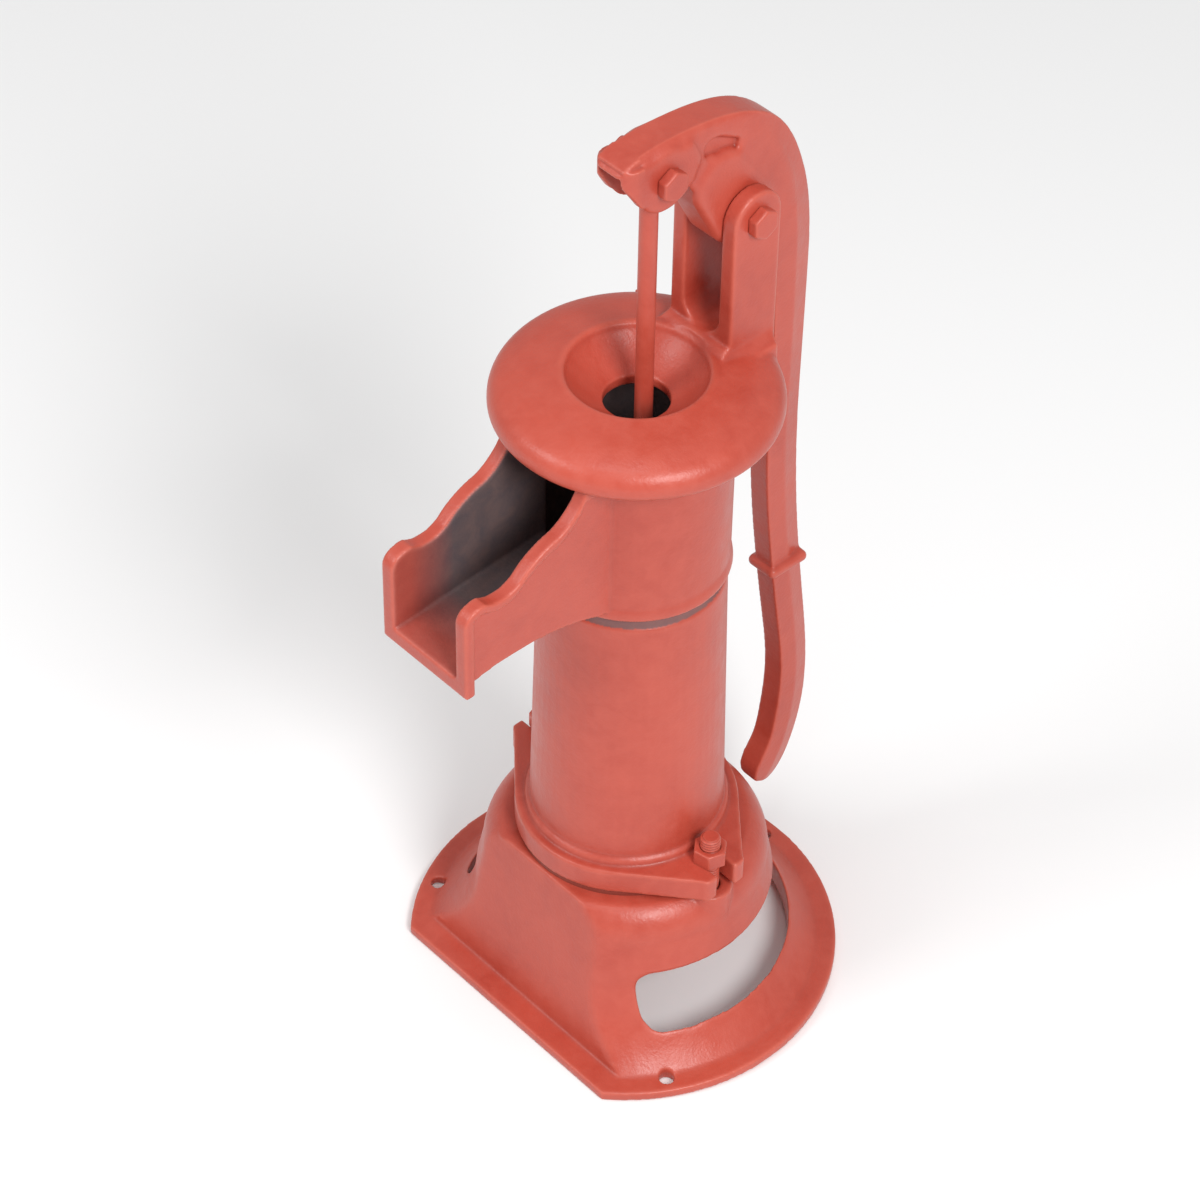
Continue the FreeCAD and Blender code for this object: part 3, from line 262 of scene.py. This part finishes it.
def bareness_and_shade(x, y, z):
    """How dark the barrel casting is coloured at a point: bare iron in the bore, partly bare iron and
    partly painted shade in the spout's inside, painted shade in the bead's groove.
    """
    radius = math.hypot(x, y)
    spout_floor = 269.0 + 0.0583 * (y + 36.0)
    if radius < BORE_R:
        return 1.0
    # The spout's inside: partly unpainted iron, partly painted shade that grows darker away from the mouth.
    if abs(x) < SPOUT_HALF and SPOUT_MOUTH_Y < y < 0 and z > spout_floor - 0.8:
        wall_fade = min(1.0, max(0.0, (SPOUT_HALF + 0.3 - abs(x)) / 0.8))
        mouth_fade = min(1.0, 0.22 + max(0.0, (y + 108.0) / 30.0))
        return wall_fade * mouth_fade
    # The groove under the bead: painted shade.
    if GROOVE_LOW < z < GROOVE_HIGH and radius < GROOVE_R:
        return 0.8
    return 0.0


def mark_bare_and_shade(mesh):
    marks = mesh.attributes.new("bare_and_shade", "FLOAT", "POINT")
    for vertex, mark in zip(mesh.vertices, marks.data):
        mark.value = bareness_and_shade(*(amount / MM for amount in vertex.co))


THREAD_DEPTH = 0.38


def cut_thread(mesh, spots, radius, pitch):
    """Cut a screw thread into the shanks that stand on these (x, y) axes."""
    for vertex in mesh.vertices:
        for x, y in spots:
            out = Vector((vertex.co.x - x, vertex.co.y - y, 0))
            if 0.8 * radius < out.length < 1.02 * radius:
                turn = vertex.co.z / pitch - math.atan2(out.y, out.x) / math.tau
                depth = 0.5 - 0.5 * math.cos(math.tau * turn)
                vertex.co -= out.normalized() * depth * THREAD_DEPTH * pitch


def soften(mesh, chosen, rounds):
    """Smooth only the part of a mesh that a test on its (x, y, z) in mm chooses."""
    inside = {v.index for v in mesh.vertices if chosen(*(amount / MM for amount in v.co))}
    work = bmesh.new()
    work.from_mesh(mesh)
    picked = [v for v in work.verts if v.index in inside]
    for _ in range(rounds):
        bmesh.ops.smooth_vert(work, verts=picked, factor=0.5,
                              use_axis_x=True, use_axis_y=True, use_axis_z=True)
    work.to_mesh(mesh)
    work.free()


def casting(node, voxel, rounds):
    """A CAD node remeshed (voxel in mm) and smoothed in rounds, so that its edges and corners are round."""
    mesh = applied(
        welded(node),
        ("REMESH", {"mode": "VOXEL", "voxel_size": voxel * MM, "adaptivity": 0.0}),
        ("SMOOTH", {"factor": 0.5, "iterations": rounds}),
    )
    if node in SOFT_REGIONS:
        soften(mesh, *SOFT_REGIONS[node])
    if node == "cylinder":
        mark_bare_and_shade(mesh)
    if node == "flange_bolts":
        cut_thread(mesh, FLANGE_BOLT_AXES, FLANGE_BOLT_R, THREAD_PITCH)
    return piece_from(mesh, node + "_skin", node)


def bell_and_facet(x, y, z):
    """The bell round the side slots, and where the sloping front runs out into it."""
    facet = -(64.0 - 12.0 * z / 83.8)
    beside_facet = 9 < z < 82 and facet - 0.5 < y < facet + 9 and abs(x) > 16
    return beside_facet or (7 < z < 52 and abs(x) > 22 and y > -56)


def lever_head(x, y, z):
    """The steps between the lever's cheeks, neck and sides."""
    return z > 402 and y > -9 and abs(x) > 7.2 and math.hypot(y - 4.07, z - 454.28) > 8.5


# Where a casting is smoothed further, and how often.
SOFT_REGIONS = {"base": (bell_and_facet, 45), "lever": (lever_head, 45)}
FLANGE_BOLT_AXES = ((55.8 * MM, 0.0), (-55.8 * MM, 0.0))
FLANGE_BOLT_R = 4.7 * MM
THREAD_PITCH = 1.6 * MM

# Each casting's voxel size in mm, and its rounds of smoothing.
CASTINGS = {
    "base": (0.8, 11),
    "cylinder": (0.85, 3),
    "cap": (0.85, 6),
    "lever": (0.6, 7),
    "plunger_rod": (0.6, 4),
    "flange_bolts": (0.3, 2),
    "flange_nuts": (0.35, 8),
    "fulcrum_bolt": (0.35, 34),
    "fulcrum_bolt_nut": (0.35, 9),
    "rod_bolt": (0.35, 34),
    "rod_bolt_nut": (0.35, 9),
    "cap_set_screw": (0.4, 3),
    "plunger_cage": (0.8, 4),
    "foot_valve_weight": (0.7, 3),
}
for name, (voxel, rounds) in CASTINGS.items():
    casting(name, voxel, rounds)

for name, node in NODES.items():
    if name not in CASTINGS:
        node.data.materials.clear()
        node.data.materials.append(MATERIALS[SLOT_OF[name]])


# ---------------------------------------------------------------- floor, light and camera
def make_floor():
    mesh = bpy.data.meshes.new("floor")
    reach = 6.0
    mesh.from_pydata([(-reach, -reach, 0), (reach, -reach, 0), (reach, reach, 0), (-reach, reach, 0)],
                     [], [(0, 1, 2, 3)])
    floor = bpy.data.objects.new("floor", mesh)
    bpy.context.scene.collection.objects.link(floor)
    floor.location.z = -0.2 * MM
    material = bpy.data.materials.new("floor")
    material.use_nodes = True
    shader = material.node_tree.nodes["Principled BSDF"]
    shader.inputs["Base Color"].default_value = (0.9, 0.9, 0.9, 1)
    shader.inputs["Roughness"].default_value = 0.8
    shader.inputs["Specular IOR Level"].default_value = 0.1
    mesh.materials.append(material)


def look_from(azimuth, elevation, distance, target, roll=0.0):
    """A camera-style matrix: azimuth 0 looks along +Y, and elevation looks down."""
    az, el, turn = map(math.radians, (azimuth, elevation, roll))
    back = Vector((math.cos(el) * math.sin(az), -math.cos(el) * math.cos(az), math.sin(el)))
    side = Vector((math.cos(az), math.sin(az), 0))
    up = back.cross(side)
    right = math.cos(turn) * side + math.sin(turn) * up
    top = math.cos(turn) * up - math.sin(turn) * side
    matrix = Matrix((right, top, back)).transposed().to_4x4()
    matrix.translation = Vector(target) + back * distance
    return matrix


def make_camera():
    data = bpy.data.cameras.new("camera")
    data.lens = 114.77
    data.sensor_width = 36.0
    camera = bpy.data.objects.new("camera", data)
    bpy.context.scene.collection.objects.link(camera)
    camera.matrix_world = look_from(47.12, 43.53, 1.6805, (-0.0106, -0.0090, 0.2191), 1.03)
    bpy.context.scene.camera = camera


def area_light(name, azimuth, elevation, distance, size, power, colour=(1, 1, 1)):
    data = bpy.data.lights.new(name, "AREA")
    data.shape = "DISK"
    data.size = size
    data.energy = power
    data.color = colour
    light = bpy.data.objects.new(name, data)
    bpy.context.scene.collection.objects.link(light)
    light.matrix_world = look_from(azimuth, elevation, distance, (0, 0, 0.25))


def make_light():
    world = bpy.data.worlds.new("studio")
    world.use_nodes = True
    world.node_tree.nodes["Background"].inputs["Color"].default_value = (1, 1, 1, 1)
    world.node_tree.nodes["Background"].inputs["Strength"].default_value = 0.5
    bpy.context.scene.world = world
    area_light("key", 74, 40, 2.2, 0.8, 34)
    area_light("front", -22, 38, 2.4, 1.0, 17)
    area_light("top", 20, 80, 2.4, 1.0, 10)


make_floor()
make_light()
make_camera()
bpy.context.scene.view_settings.view_transform = "Standard"
